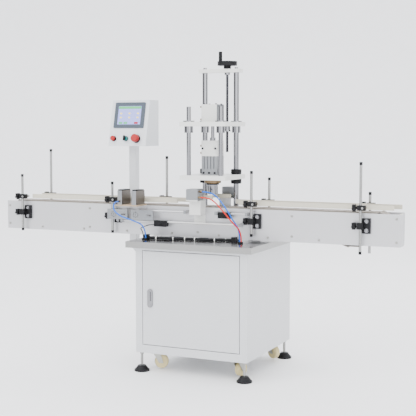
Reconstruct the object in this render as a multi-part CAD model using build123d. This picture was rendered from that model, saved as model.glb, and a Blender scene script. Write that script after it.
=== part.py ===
from build123d import *
from math import acos, atan2, cos, hypot, radians, sin, tan
import os

# In-line capping machine. Origin on the floor at the centre of the four levelling feet,
# X along the conveyor, Y to the back, Z up. Millimetres.

# fits and gaps
running_gap = 0.05        # radial, shaft in a bearing or bush
free_gap = 0.4            # between parts that move past each other
seat_gap = 0.05           # radial, bush or column in its plate

# cabinet and table
cabinet_width = 552.0
cabinet_depth = 552.0
cabinet_foot_height = 90.0
cabinet_height = 512.0
cabinet_sheet = 2.0
front_frame_depth = 20.0
door_margin_side = 34.0
door_margin_bottom = 37.0
door_margin_top = 38.0
door_gap = 3.0
door_thickness = 18.0
door_sheet = 1.5
table_overhang_x = 33.0
table_overhang_y = 36.0
table_plate = 3.0
table_lip = 28.0
table_lip_sheet = 3.0
hinge_pin_radius = 3.0
hinge_pin_inset = 6.0
hinge_pin_length = 9.0
latch_inset = 38.0
latch_width = 25.0
latch_height = 86.0
latch_proud = 6.0
latch_shaft_radius = 8.0
cam_length = 50.0
cam_width = 14.0
cam_thickness = 3.0

# feet and castors
foot_inset = 20.0
foot_pad_radius = 35.0
foot_pad_top_radius = 18.0
foot_pad_height = 27.0
foot_stud_radius = 6.0
foot_nut_radius = 11.0
foot_nut_height = 9.0
castor_inset = 72.0
castor_plate_size = 62.0
castor_plate_thickness = 3.0
castor_boss_radius = 15.0
castor_boss_height = 6.0
castor_pin_radius = 5.0
castor_wheel_radius = 32.0
castor_wheel_width = 26.0
castor_floor_gap = 8.0
castor_trail = 22.0
castor_axle_radius = 4.0
castor_fork_sheet = 3.0
castor_turns = (20.0, 75.0, 115.0, -25.0)

# conveyor
conveyor_left = -1103.0
conveyor_length = 2000.0
conveyor_width = 115.0
conveyor_centre_y = -50.0
conveyor_height = 140.0
conveyor_plate = 4.0
conveyor_stand_height = 10.0
stand_width = 40.0
stand_spacing = 400.0
chain_width = 82.5
chain_thickness = 5.0
chain_above_plate = 5.0
chain_turn_radius = 52.0
idler_inset = 73.0
drive_inset = 92.0
chain_sag_drop = 50.0
chain_sag_span = 245.0
shaft_radius = 10.0
sprocket_width = 40.0
bearing_size = 54.0
bearing_thickness = 10.0
spacer_radius = 8.0
spacer_spacing = 240.0
spacer_count = 7
wear_strip_width = 18.0
wear_strip_thickness = 6.0
end_plate_width = 71.0
end_plate_thickness = 8.0
gearbox_length = 64.0
gearbox_width = 104.0
gearbox_height = 72.0
motor_radius = 32.0
motor_length = 178.0
motor_set_back = 74.0

# guide rails and their posts
rail_thickness = 8.0
rail_height = 20.0
rail_lift = 15.0
rail_overlap = 1.25
rail_end_inset = 23.0
post_radius = 6.0
post_stand_off = 23.0
bracket_width = 36.0
bracket_height = 66.0
bracket_thickness = 12.0
clamp_size = 30.0
knob_radius = 17.0
knob_height = 14.0
knob_lobes = 5
arm_radius = 5.0
# each post: its x, and its two ends above the conveyor's bottom edge
front_posts = ((-996.0, -3.0, 273.0), (-480.0, 7.0, 247.0), (236.0, 21.0, 311.0), (738.0, -33.0, 358.0))
rear_posts = ((-932.0, 25.0, 395.0), (-269.0, 25.0, 367.0), (260.0, 25.0, 275.0), (736.0, -49.0, 221.0))
station_gap_left = 160.0
station_gap_right = 150.0

# capping head
head_x = 10.0
column_spacing_x = 160.0
column_spacing_y = 180.0
back_column_radius = 12.5
front_column_radius = 10.0
column_length = 773.0
column_flange_radius = 29.0
column_flange_height = 12.0
top_bar_width = 206.0
top_bar_depth = 50.0
top_bar_thickness = 16.0
plate_width = 230.0
plate_depth = 240.0
plate_thickness = 20.0
tool_plate_height = 279.0
head_plate_height = 523.0
front_column_rise = 69.0
bush_radius = 20.0
bush_length = 30.0
bush_flange_radius = 26.0
bush_flange_thickness = 5.0
screw_offset_x = 34.0
screw_radius = 6.0
screw_length = 389.0
nut_radius = 14.0
nut_length = 18.0
screw_collar_radius = 13.0
screw_collar_height = 11.0
wheel_radius = 46.0
wheel_rim = 9.0
wheel_height = 20.0
wheel_hub_radius = 17.0
wheel_hub_drop = 14.0
wheel_gap = 2.0
grip_radius = 8.5
grip_height = 46.0
grip_offset = 35.0
grip_pin_radius = 3.0
lift_cylinder_width = 80.0
lift_cylinder_depth = 84.0
lift_cylinder_height = 80.0
lift_bore_radius = 30.0
cylinder_end = 8.0
lift_stroke = 50.0
piston_thickness = 12.0
lift_rod_radius = 8.0
coupling_radius = 13.0
coupling_height = 14.0
chuck_cylinder_height = 71.0
housing_width = 76.0
housing_depth = 80.0
housing_height = 87.0
housing_groove = 5.0
bumper_radius = 25.0
bumper_height = 24.0
spindle_radius = 15.0
spindle_depth = 54.0
bearing_flange_radius = 39.0
bearing_flange_height = 18.0
chuck_radius = 24.0
chuck_collar_radius = 30.0
chuck_collar_height = 7.0
chuck_length = 45.0
socket_radius = 19.0
socket_depth = 26.0
liner_radius = 15.0

# bottle stops and bottle clamps
stop_x = (-400.0, -325.0)
stop_width = 24.0
stop_depth = 88.0
stop_height = 66.0
stop_shelf = 6.0
stop_rod_radius = 5.0
stop_lift = 26.0
stop_travel = 45.0
stop_finger = 14.0
bracket_sheet = 6.0
pattern_radius = 12.0
pattern_hole = 2.6
clamp_width = 58.0
clamp_depth = 60.0
clamp_height = 50.0
clamp_shift = 37.0
clamp_rod_radius = 5.0
clamp_travel = 25.0
jaw_opening = 50.0
jaw_height = 18.0
jaw_thickness = 12.0
jaw_pad_width = 50.0
support_width = 56.0
support_depth = 53.0
support_height = 66.0

# control box on its post
box_centre_x = -445.0
box_width = 204.0
box_height = 222.0
box_depth_bottom = 138.0
box_depth_top = 88.0
box_sheet = 2.0
box_back_y = 88.0
box_bottom_z = 1033.0
screen_width = 164.0
screen_height = 126.0
screen_proud = 5.0
screen_margin = 13.0
button_row = 36.0
button_x = (-75.0, -8.0, 50.0)
button_radius = (12.0, 11.0, 19.0)
button_height = (11.0, 9.0, 20.0)
stem_radius = (8.0, 8.0, 9.0)
button_travel = 4.0
post_tube = 36.0
post_tube_wall = 2.0
post_x = -448.0
post_y = 30.0
post_arm_drop = 38.0
gusset_sheet = 4.0
gusset_drop = 190.0

# sensors, tubes and cables
sensor_rod_radius = 4.0
tube_diameter = 6.0
cable_diameter = 4.0
loom_diameter = 14.0
grommet_radius = 12.0
grommet_height = 8.0
fitting_length = 12.0
fitting_radius = 5.0
cone_fitting_radius = 7.0
gland_size = 22.0
loom_lift = 0.3

# heights and places that follow from the sizes above
cabinet_top = cabinet_foot_height + cabinet_height
table_top_z = cabinet_top + table_plate
conveyor_bottom = table_top_z + conveyor_stand_height
conveyor_top = conveyor_bottom + conveyor_height
conveyor_right = conveyor_left + conveyor_length
front_face_y = conveyor_centre_y - conveyor_width / 2
rear_face_y = conveyor_centre_y + conveyor_width / 2
chain_top = conveyor_top + chain_above_plate
shaft_z = chain_top - chain_turn_radius
idler_x = conveyor_left + idler_inset
drive_x = conveyor_right - drive_inset
rail_z = chain_top + 10.0
rail_centre_z = rail_z + rail_height / 2
front_rail_y = conveyor_centre_y - chain_width / 2 - rail_overlap
rear_rail_y = conveyor_centre_y + chain_width / 2 + rail_overlap
head_y = conveyor_centre_y
back_column_y = head_y + column_spacing_y / 2
front_column_y = head_y - column_spacing_y / 2
column_xs = (head_x - column_spacing_x / 2, head_x + column_spacing_x / 2)
column_top = table_top_z + column_length
tool_plate_z = table_top_z + tool_plate_height
tool_plate_top = tool_plate_z + plate_thickness
head_plate_z = table_top_z + head_plate_height
head_plate_top = head_plate_z + plate_thickness
screw_x = head_x + screw_offset_x
bar_top = column_top + top_bar_thickness
housing_top = tool_plate_top + housing_height
chuck_block_top = housing_top + chuck_cylinder_height
stop_base_z = conveyor_top + 7.0
jaw_z = rail_z + rail_height + 4.0


def block(x0, x1, y0, y1, z0, z1):
    return Pos((x0 + x1) / 2, (y0 + y1) / 2, (z0 + z1) / 2) * Box(x1 - x0, y1 - y0, z1 - z0)


def rod_x(x0, x1, y, z, radius):
    return Pos((x0 + x1) / 2, y, z) * Rot(0, 90, 0) * Cylinder(radius, x1 - x0)


def rod_y(x, y0, y1, z, radius):
    return Pos(x, (y0 + y1) / 2, z) * Rot(90, 0, 0) * Cylinder(radius, y1 - y0)


def rod_z(x, y, z0, z1, radius):
    return Pos(x, y, (z0 + z1) / 2) * Cylinder(radius, z1 - z0)


def tube_z(x, y, z0, z1, outer, bore):
    return rod_z(x, y, z0, z1, outer) - rod_z(x, y, z0 - 1, z1 + 1, bore)


def save(name, *pieces):
    solids = []
    for piece in pieces:
        solids.extend(piece.solids())
    shape = solids[0] if len(solids) == 1 else Compound(solids)
    export_step(shape, f"parts/{name}.step")


# ---------------------------------------------------------------- cabinet

def cabinet_half():
    return cabinet_width / 2, cabinet_depth / 2


def door_box():
    w, d = cabinet_half()
    x0 = -w + door_margin_side + door_gap
    x1 = w - door_margin_side - door_gap
    z0 = cabinet_foot_height + door_margin_bottom + door_gap
    z1 = cabinet_top - door_margin_top - door_gap
    return x0, x1, z0, z1


def grommet_places():
    w, d = cabinet_half()
    return ((-w + 14.0, -d + 61.0), (w - 74.0, -d + 101.0))


def cabinet_shell():
    w, d = cabinet_half()
    z0, z1, t = cabinet_foot_height, cabinet_top, cabinet_sheet
    x0, x1, dz0, dz1 = door_box()
    shell = block(-w, w, -d, d, z0, z1)
    shell -= block(-w + t, w - t, -d + front_frame_depth, d - t, z0 + t, z1 - t)
    shell -= block(x0 - door_gap, x1 + door_gap, -d - 1, -d + front_frame_depth + 1, dz0 - door_gap, dz1 + door_gap)
    for x, y in grommet_places():
        shell -= rod_z(x, y, z1 - t - 1, z1 + 1, grommet_radius - 2)
    return shell


def table_top():
    w, d = cabinet_half()
    w += table_overhang_x
    d += table_overhang_y
    t = table_lip_sheet
    top = block(-w, w, -d, d, table_top_z - table_lip, table_top_z)
    top -= block(-w + t, w - t, -d + t, d - t, table_top_z - table_lip - 1, cabinet_top)
    for x, y in grommet_places():
        top -= rod_z(x, y, cabinet_top - 1, table_top_z + 1, grommet_radius - 2)
    return top


def hinge_place():
    w, d = cabinet_half()
    x0, x1, z0, z1 = door_box()
    return x1 - hinge_pin_inset, -d + hinge_pin_inset


def latch_place():
    x0, x1, z0, z1 = door_box()
    return x0 + latch_inset, (z0 + z1) / 2


def cabinet_door():
    w, d = cabinet_half()
    x0, x1, z0, z1 = door_box()
    t = door_sheet
    hx, hy = hinge_place()
    lx, lz = latch_place()
    door = block(x0, x1, -d, -d + door_thickness, z0, z1)
    door -= block(x0 + t, x1 - t, -d + t, -d + door_thickness + 1, z0 + t, z1 - t)
    door -= rod_z(hx, hy, z0 - 1, z1 + 1, hinge_pin_radius + running_gap)
    door -= rod_y(lx, -d - 1, -d + t + 1, lz, latch_shaft_radius + running_gap)
    return door


def door_hinge_pins():
    x0, x1, z0, z1 = door_box()
    hx, hy = hinge_place()
    top = rod_z(hx, hy, z1 + door_gap - hinge_pin_length, z1 + door_gap, hinge_pin_radius)
    bottom = rod_z(hx, hy, z0 - door_gap, z0 - door_gap + hinge_pin_length, hinge_pin_radius)
    return top, bottom


def door_latch():
    w, d = cabinet_half()
    lx, lz = latch_place()
    front = -d - free_gap
    r = latch_width / 2
    outline = Plane.XZ * SlotOverall(latch_height, latch_width, rotation=90)
    handle = Pos(lx, front, lz) * extrude(outline, latch_proud)
    grip = block(lx - 4, lx + 4, front - latch_proud - 4, front - latch_proud, lz - r, lz + latch_height / 2 - r)
    cam_y = -d + front_frame_depth + free_gap
    shaft = rod_y(lx, front, cam_y, lz, latch_shaft_radius)
    cam = block(lx - cam_width / 2, lx + cam_width / 2, cam_y, cam_y + cam_thickness, lz - cam_length, lz + cam_width / 2)
    return handle + grip + shaft + cam


def electrics():
    w, d = cabinet_half()
    back = d - cabinet_sheet
    floor = cabinet_foot_height + cabinet_sheet
    plate = block(-w + 60, w - 60, back - 20, back - 17, floor + 60, cabinet_top - 60)
    stands = []
    for x in (-w + 80, w - 80):
        for z in (floor + 80, cabinet_top - 80):
            stands.append(rod_y(x, back - 17, back, z, 6))
    face = back - 20
    controller = block(-w + 90, -w + 220, face - 75, face, floor + 270, floor + 360)
    supply = block(-w + 250, -w + 350, face - 50, face, floor + 270, floor + 370)
    drive = block(-w + 380, -w + 450, face - 120, face, floor + 240, floor + 390)
    valves = block(-w + 90, -w + 260, face - 60, face, floor + 100, floor + 170)
    return [plate, controller, supply, drive, valves] + stands


# ---------------------------------------------------------------- feet and castors

def foot_places():
    w, d = cabinet_half()
    return [(sx * (w - foot_inset), sy * (d - foot_inset)) for sy in (-1, 1) for sx in (-1, 1)]


def foot_pads():
    height = foot_pad_height
    pads = []
    for x, y in foot_places():
        skirt = Pos(x, y, 4) * Cylinder(foot_pad_radius, 8)
        cone = Pos(x, y, 8 + (height - 8) / 2) * Cone(foot_pad_radius - 2, foot_pad_top_radius, height - 8)
        pads.append(skirt + cone)
    return pads


def foot_studs():
    pieces = []
    for x, y in foot_places():
        pieces.append(rod_z(x, y, foot_pad_height, cabinet_foot_height, foot_stud_radius))
        hexagon = extrude(RegularPolygon(foot_nut_radius, 6), foot_nut_height)
        nut = Pos(x, y, cabinet_foot_height - foot_nut_height) * hexagon
        nut -= rod_z(x, y, 0, cabinet_foot_height + 1, foot_stud_radius + seat_gap)
        pieces.append(nut)
    return pieces


def castor_places():
    w, d = cabinet_half()
    return [(sx * (w - castor_inset), sy * (d - castor_inset)) for sy in (-1, 1) for sx in (-1, 1)]


def castor_plates():
    z1 = cabinet_foot_height
    half = castor_plate_size / 2
    boss_z = z1 - castor_plate_thickness - castor_boss_height
    pieces = []
    for x, y in castor_places():
        plate = block(x - half, x + half, y - half, y + half, z1 - castor_plate_thickness, z1)
        boss = rod_z(x, y, boss_z, z1 - castor_plate_thickness, castor_boss_radius)
        pin = rod_z(x, y, boss_z - castor_fork_sheet - free_gap, boss_z, castor_pin_radius)
        pieces.append(plate + boss + pin)
    return pieces


def castor_fork(index):
    x, y = castor_places()[index]
    boss_z = cabinet_foot_height - castor_plate_thickness - castor_boss_height
    top = boss_z - free_gap
    sheet = castor_fork_sheet
    axle_z = castor_floor_gap + castor_wheel_radius
    inner = castor_wheel_width / 2 + 2
    crown = Pos(0, 0, top - sheet / 2) * Cylinder(21, sheet)
    crown -= Cylinder(castor_pin_radius + running_gap, 4 * top)
    leg_line = Polyline((-17, top), (17, top), (castor_trail + 10, axle_z - 7), (castor_trail - 10, axle_z - 7), close=True)
    leg = extrude(Plane.XZ * make_face(leg_line), sheet / 2, both=True)
    fork = crown
    for side in (-1, 1):
        fork += Pos(0, side * (inner + sheet / 2), 0) * leg
    axle = rod_y(castor_trail, -inner - sheet, inner + sheet, axle_z, castor_axle_radius)
    fork += block(-17, 17, -inner - sheet, inner + sheet, top - sheet, top) - Cylinder(castor_pin_radius + running_gap, 4 * top)
    return Pos(x, y, 0) * Rot(0, 0, castor_turns[index]) * (fork + axle)


def castor_wheel(index):
    x, y = castor_places()[index]
    axle_z = castor_floor_gap + castor_wheel_radius
    half = castor_wheel_width / 2
    wheel = rod_y(castor_trail, -half, half, axle_z, castor_wheel_radius)
    wheel = chamfer(wheel.edges().filter_by(GeomType.CIRCLE), 4)
    wheel -= rod_y(castor_trail, -half - 1, half + 1, axle_z, castor_axle_radius + running_gap)
    return Pos(x, y, 0) * Rot(0, 0, castor_turns[index]) * wheel


# ---------------------------------------------------------------- conveyor

def side_plates():
    plates = []
    for y0 in (front_face_y, rear_face_y - conveyor_plate):
        plates.append(block(conveyor_left, conveyor_right, y0, y0 + conveyor_plate, conveyor_bottom, conveyor_top))
    plates[1] -= rod_y(drive_x, rear_face_y - conveyor_plate - 1, rear_face_y + 1, shaft_z, shaft_radius + 2)
    return plates


def spacer_xs():
    first = conveyor_left + 210.0
    return [first + i * spacer_spacing for i in range(spacer_count)]


def conveyor_crossbars():
    inner0 = front_face_y + conveyor_plate
    inner1 = rear_face_y - conveyor_plate
    strip_top = chain_top - chain_thickness
    upper_z = strip_top - wear_strip_thickness - spacer_radius
    lower_z = conveyor_bottom + spacer_radius + 7
    pieces = []
    for x in spacer_xs():
        pieces.append(rod_y(x, inner0, inner1, upper_z, spacer_radius))
        if x < drive_x - chain_sag_span - 40:
            pieces.append(rod_y(x, inner0, inner1, lower_z, spacer_radius))
    for side in (-1, 1):
        y = conveyor_centre_y + side * (chain_width / 2 - wear_strip_width / 2)
        half = wear_strip_width / 2
        pieces.append(block(idler_x, drive_x, y - half, y + half, strip_top - wear_strip_thickness, strip_top))
    for x in (-stand_spacing / 2, stand_spacing / 2):
        half = stand_width / 2
        pieces.append(block(x - half, x + half, front_face_y - 22, rear_face_y + 22, table_top_z, conveyor_bottom))
    right = conveyor_right
    pieces.append(block(right, right + end_plate_thickness, front_face_y, front_face_y + end_plate_width, conveyor_bottom, conveyor_top))
    for x in (idler_x, drive_x):
        half = bearing_size / 2
        for y0 in (inner0, inner1 - bearing_thickness):
            body = block(x - half, x + half, y0, y0 + bearing_thickness, shaft_z - half, shaft_z + half)
            body -= rod_y(x, y0 - 1, y0 + bearing_thickness + 1, shaft_z, shaft_radius + running_gap)
            pieces.append(body)
    return pieces


def slat_chain():
    mid = chain_turn_radius - chain_thickness / 2
    z1 = shaft_z + mid
    z0 = shaft_z - mid
    sag = chain_sag_drop
    span = chain_sag_span
    top = Line((idler_x, z1), (drive_x, z1))
    right = ThreePointArc((drive_x, z1), (drive_x + mid, shaft_z), (drive_x, z0))
    low = [(drive_x, z0), (drive_x - 0.14 * span, z0), (drive_x - 0.3 * span, z0 - sag)]
    low += [(drive_x - 0.62 * span, z0 - sag), (drive_x - span, z0), (idler_x, z0)]
    bottom = FilletPolyline(*low, radius=24)
    left = ThreePointArc((idler_x, z0), (idler_x - mid, shaft_z), (idler_x, z1))
    loop = Wire([*top.edges(), *right.edges(), *bottom.edges(), *left.edges()])
    outer = loop.offset_2d(chain_thickness / 2)
    inner = loop.offset_2d(-chain_thickness / 2)
    if outer.bounding_box().size.X < inner.bounding_box().size.X:
        outer, inner = inner, outer
    face = Face(outer) - Face(inner)
    band = extrude(Plane.XZ * face, chain_width / 2, both=True)
    return Pos(0, conveyor_centre_y, 0) * band


def sprocket(x):
    radius = chain_turn_radius - chain_thickness - free_gap
    half = sprocket_width / 2
    y0, y1 = conveyor_centre_y - half, conveyor_centre_y + half
    return rod_y(x, y0, y1, shaft_z, radius) - rod_y(x, y0 - 1, y1 + 1, shaft_z, shaft_radius)


def drive_shaft():
    start = front_face_y + conveyor_plate + 1
    end = rear_face_y + gearbox_width / 2
    return rod_y(drive_x, start, end, shaft_z, shaft_radius), sprocket(drive_x)


def idler_shaft():
    start = front_face_y + conveyor_plate + 1
    end = rear_face_y - conveyor_plate - 1
    return rod_y(idler_x, start, end, shaft_z, shaft_radius), sprocket(idler_x)


def gear_motor():
    x0 = drive_x - 27
    y0 = rear_face_y
    half = gearbox_height / 2
    gearbox = block(x0, x0 + gearbox_length, y0, y0 + gearbox_width, shaft_z - half, shaft_z + half)
    gearbox = fillet(gearbox.edges().filter_by(Axis.Y), 10)
    gearbox -= rod_y(drive_x, y0 - 1, y0 + gearbox_width / 2 + 1, shaft_z, shaft_radius + running_gap)
    y = rear_face_y + motor_set_back
    flange = rod_x(x0 - 10, x0, y, shaft_z, motor_radius + 3)
    motor = rod_x(x0 - 10 - motor_length, x0 - 10, y, shaft_z, motor_radius)
    return gearbox + flange + motor


# ---------------------------------------------------------------- guide rails

def guide_rails():
    half = rail_thickness / 2
    z0, z1 = rail_z, rail_z + rail_height
    left0 = conveyor_left + 143.0
    left1 = head_x - station_gap_left
    right0 = head_x + station_gap_right
    right1 = conveyor_right - rail_end_inset
    rails = []
    for y, back in ((front_rail_y, 0), (rear_rail_y, 1)):
        rails.append(block(left0, left1 + 90 * back, y - half, y + half, z0, z1))
        rails.append(block(right0 - 50 * back, right1 + 15 * back, y - half, y + half, z0, z1))
    return rails


def posts():
    front_y = front_face_y - post_stand_off
    rear_y = rear_face_y + post_stand_off
    z = conveyor_bottom
    places = [(x, front_y, z + low, z + high, -1) for x, low, high in front_posts]
    places += [(x, rear_y, z + low, z + high, 1) for x, low, high in rear_posts]
    return places


def rail_posts():
    pieces = []
    for x, y, z0, z1, side in posts():
        pieces.append(rod_z(x, y, z0, z1, post_radius))
        rail_y = front_rail_y - rail_thickness / 2 if side < 0 else rear_rail_y + rail_thickness / 2
        arm_x = x + post_radius + arm_radius + 2
        y0, y1 = sorted((rail_y, y + side * (clamp_size / 2 + 6)))
        pieces.append(rod_y(arm_x, y0, y1, rail_centre_z, arm_radius))
    return pieces


def star_knob():
    body = Cylinder(knob_radius * 0.72, knob_height)
    for i in range(knob_lobes):
        angle = 360 / knob_lobes * i
        body += Rot(0, 0, angle) * Pos(knob_radius * 0.68, 0, 0) * Cylinder(knob_radius * 0.32, knob_height)
    return body


def rail_clamps():
    pieces = []
    mid_z = conveyor_bottom + conveyor_height * 0.62
    clamp_left = clamp_size / 2 - 2
    for x, y, z0, z1, side in posts():
        face = front_face_y if side < 0 else rear_face_y
        y0, y1 = sorted((face, face + side * bracket_thickness))
        plate = block(x + 4, x + 4 + bracket_width, y0, y1, mid_z - bracket_height / 2, mid_z + bracket_height / 2)
        y2, y3 = sorted((face + side * 4, y + side * (post_radius + 6)))
        eye = block(x - 14, x + 14, y2, y3, mid_z - 14, mid_z + 14)
        bracket = plate + eye - rod_z(x, y, z0, z1, post_radius + seat_gap)
        pieces.append(bracket)
        for z, edge in ((mid_z, x - 14), (rail_centre_z, x - clamp_left)):
            knob = Pos(edge - 8 - knob_height / 2, y, z) * Rot(0, 90, 0) * star_knob()
            pieces.append(knob + rod_x(edge - 9, edge, y, z, 4))
        half = clamp_size / 2
        arm_x = x + post_radius + arm_radius + 2
        cross = block(x - clamp_left, arm_x + 9, y - half + 3, y + half - 3, rail_centre_z - 11, rail_centre_z + 11)
        cross -= rod_z(x, y, z0, z1 + 1, post_radius + seat_gap)
        cross -= rod_y(arm_x, y - half, y + half, rail_centre_z, arm_radius + seat_gap)
        pieces.append(cross)
    return pieces


# ---------------------------------------------------------------- capping head

def back_columns():
    pieces = []
    for x in column_xs:
        pieces.append(rod_z(x, back_column_y, table_top_z, column_top, back_column_radius))
        z1 = table_top_z + column_flange_height
        pieces.append(tube_z(x, back_column_y, table_top_z, z1, column_flange_radius, back_column_radius + seat_gap))
    return pieces


def top_bar():
    half_w = top_bar_width / 2
    half_d = top_bar_depth / 2
    y = back_column_y
    bar = block(head_x - half_w, head_x + half_w, y - half_d, y + half_d, column_top, bar_top)
    bar -= rod_z(screw_x, y, column_top - 1, bar_top + 1, screw_radius + running_gap)
    pieces = [bar]
    for x in column_xs:
        pieces.append(rod_z(x, y, bar_top, bar_top + 8, 8))
    z0 = column_top - screw_collar_height
    pieces.append(tube_z(screw_x, y, z0, column_top, screw_collar_radius, screw_radius + running_gap))
    return pieces


def lead_screw():
    top = bar_top + wheel_gap
    return rod_z(screw_x, back_column_y, top - screw_length, top, screw_radius)


def handwheel():
    z0 = bar_top + wheel_gap
    z1 = z0 + wheel_hub_drop
    z2 = z1 + wheel_height
    hub = rod_z(screw_x, back_column_y, z0, z1 + 4, wheel_hub_radius)
    disc = rod_z(screw_x, back_column_y, z1, z1 + 6, wheel_radius)
    rim = tube_z(screw_x, back_column_y, z1, z2, wheel_radius, wheel_radius - wheel_rim)
    lug = rod_z(screw_x - grip_offset, back_column_y, z1, z2, wheel_rim)
    pin = rod_z(screw_x - grip_offset, back_column_y, z2, z2 + grip_height - 4, grip_pin_radius)
    return hub + disc + rim + lug + pin


def crank_grip():
    z0 = bar_top + wheel_gap + wheel_hub_drop + wheel_height + free_gap
    x = screw_x - grip_offset
    grip = rod_z(x, back_column_y, z0, z0 + grip_height, grip_radius)
    grip = fillet(grip.edges().filter_by(GeomType.CIRCLE), 2.5)
    return grip - rod_z(x, back_column_y, z0 - 1, z0 + grip_height - 4, grip_pin_radius + running_gap)


def plate_blank(z0):
    half_w = plate_width / 2
    half_d = plate_depth / 2
    plate = block(head_x - half_w, head_x + half_w, head_y - half_d, head_y + half_d, z0, z0 + plate_thickness)
    return fillet(plate.edges().filter_by(Axis.Z), 6)


def head_plate():
    plate = plate_blank(head_plate_z)
    z0, z1 = head_plate_z - 1, head_plate_top + 1
    for x in column_xs:
        for y in (back_column_y, front_column_y):
            plate -= rod_z(x, y, z0, z1, bush_radius + seat_gap)
    plate -= rod_z(screw_x, back_column_y, z0, z1, nut_radius + seat_gap)
    plate -= rod_z(head_x, head_y, z0, z1, lift_rod_radius + 4)
    return plate


def head_bushings():
    pieces = []
    z0 = head_plate_z - bush_length
    z1 = head_plate_top + bush_flange_thickness
    for x in column_xs:
        for y, r in ((back_column_y, back_column_radius), (front_column_y, front_column_radius)):
            bush = rod_z(x, y, z0, head_plate_top, bush_radius)
            bush += rod_z(x, y, head_plate_top, z1, bush_flange_radius)
            pieces.append(bush - rod_z(x, y, z0 - 1, z1 + 1, r + running_gap))
    nut = rod_z(screw_x, back_column_y, head_plate_z - nut_length, head_plate_top, nut_radius)
    nut += rod_z(screw_x, back_column_y, head_plate_z - nut_length - 6, head_plate_z - nut_length, nut_radius + 3)
    pieces.append(nut - rod_z(screw_x, back_column_y, 0, head_plate_top + 1, screw_radius + running_gap))
    return pieces


def lift_cylinder():
    w, d, h = lift_cylinder_width / 2, lift_cylinder_depth / 2, lift_cylinder_height
    z0 = head_plate_top
    body = block(head_x - w, head_x + w, head_y - d, head_y + d, z0, z0 + h)
    body = fillet(body.edges().filter_by(Axis.Z), 5)
    body -= rod_z(head_x, head_y, z0 + cylinder_end, z0 + h - cylinder_end, lift_bore_radius)
    body -= rod_z(head_x, head_y, z0 - 1, z0 + cylinder_end + 1, lift_rod_radius + running_gap)
    return [body] + cone_fittings((z0 + 11, z0 + h - 11))


def cone_fittings(heights):
    x = head_x - lift_cylinder_width / 2
    r = cone_fitting_radius
    fittings = []
    for z in heights:
        cone = Cone(r, r * 0.6, fitting_length)
        fittings.append(Pos(x - fitting_length / 2, head_y - 22, z) * Rot(0, -90, 0) * cone)
    return fittings


def tool_plate():
    plate = plate_blank(tool_plate_z)
    z0, z1 = tool_plate_z - 1, tool_plate_top + 1
    for x in column_xs:
        plate -= rod_z(x, back_column_y, z0, z1, back_column_radius + 1)
        plate -= rod_z(x, front_column_y, z0, z1, front_column_radius + seat_gap)
    plate -= rod_z(screw_x, back_column_y, z0, z1, screw_radius + 4)
    plate -= rod_z(head_x, head_y, z0, z1, spindle_radius + running_gap)
    return plate


def guide_columns():
    pieces = []
    top = head_plate_top + front_column_rise
    for x in column_xs:
        pieces.append(rod_z(x, front_column_y, tool_plate_z, top, front_column_radius))
    piston_z = head_plate_top + cylinder_end + 1
    rod = rod_z(head_x, head_y, chuck_block_top, piston_z, lift_rod_radius)
    rod += rod_z(head_x, head_y, piston_z, piston_z + piston_thickness, lift_bore_radius - running_gap)
    rod += rod_z(head_x, head_y, chuck_block_top, chuck_block_top + coupling_height, coupling_radius)
    pieces.append(rod)
    return pieces


def chuck_cylinder():
    w, d = lift_cylinder_width / 2, lift_cylinder_depth / 2
    body = block(head_x - w, head_x + w, head_y - d, head_y + d, housing_top, chuck_block_top)
    body = fillet(body.edges().filter_by(Axis.Z), 5)
    return [body] + cone_fittings((housing_top + 14, chuck_block_top - 24))


def spindle_housing():
    w, d = housing_width / 2, housing_depth / 2
    z0, z1 = tool_plate_top, housing_top
    body = block(head_x - w, head_x + w, head_y - d, head_y + d, z0, z1)
    for shift in (-24, -8, 8, 24):
        groove = housing_groove / 2
        body -= block(head_x + shift - groove, head_x + shift + groove, head_y - d - 1, head_y - d + 5, z0 + 28, z1 + 1)
    body -= rod_z(head_x, head_y, z0 - 1, z0 + spindle_depth + 2, spindle_radius + running_gap)
    z2 = tool_plate_z - bearing_flange_height
    flange = tube_z(head_x, head_y, z2, tool_plate_z, bearing_flange_radius, spindle_radius + running_gap)
    return body, flange


def column_bumpers():
    pieces = []
    for x in column_xs:
        for z0 in (tool_plate_z - bumper_height, tool_plate_top):
            ring = rod_z(x, back_column_y, z0, z0 + bumper_height, bumper_radius)
            ring = chamfer(ring.edges().filter_by(GeomType.CIRCLE), 3)
            pieces.append(ring - rod_z(x, back_column_y, z0 - 1, z0 + bumper_height + 1, back_column_radius + running_gap))
    return pieces


def chuck_levels():
    top = tool_plate_z - bearing_flange_height - free_gap
    return top, top - chuck_collar_height, top - chuck_collar_height - chuck_length


def chuck():
    top, collar, bottom = chuck_levels()
    body = rod_z(head_x, head_y, top, tool_plate_top + spindle_depth, spindle_radius)
    body += rod_z(head_x, head_y, collar, top, chuck_collar_radius)
    body += rod_z(head_x, head_y, bottom, collar, chuck_radius)
    body -= rod_z(head_x, head_y, bottom - 1, bottom + socket_depth, socket_radius)
    for i in range(8):
        slot = Pos(chuck_radius, 0, 0) * Box(4, 5, chuck_length * 0.45)
        body -= Pos(head_x, head_y, collar - chuck_length * 0.3) * Rot(0, 0, 45 * i) * slot
    liner = tube_z(head_x, head_y, bottom, bottom + socket_depth, socket_radius, liner_radius)
    return body, liner


# ---------------------------------------------------------------- bottle stops

def hole_ring(x, z, y0, y1):
    holes = rod_y(x, y0, y1, z, pattern_hole)
    for i in range(8):
        angle = radians(45 * i)
        holes += rod_y(x + pattern_radius * cos(angle), y0, y1, z + pattern_radius * sin(angle), pattern_hole)
    return holes


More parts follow.
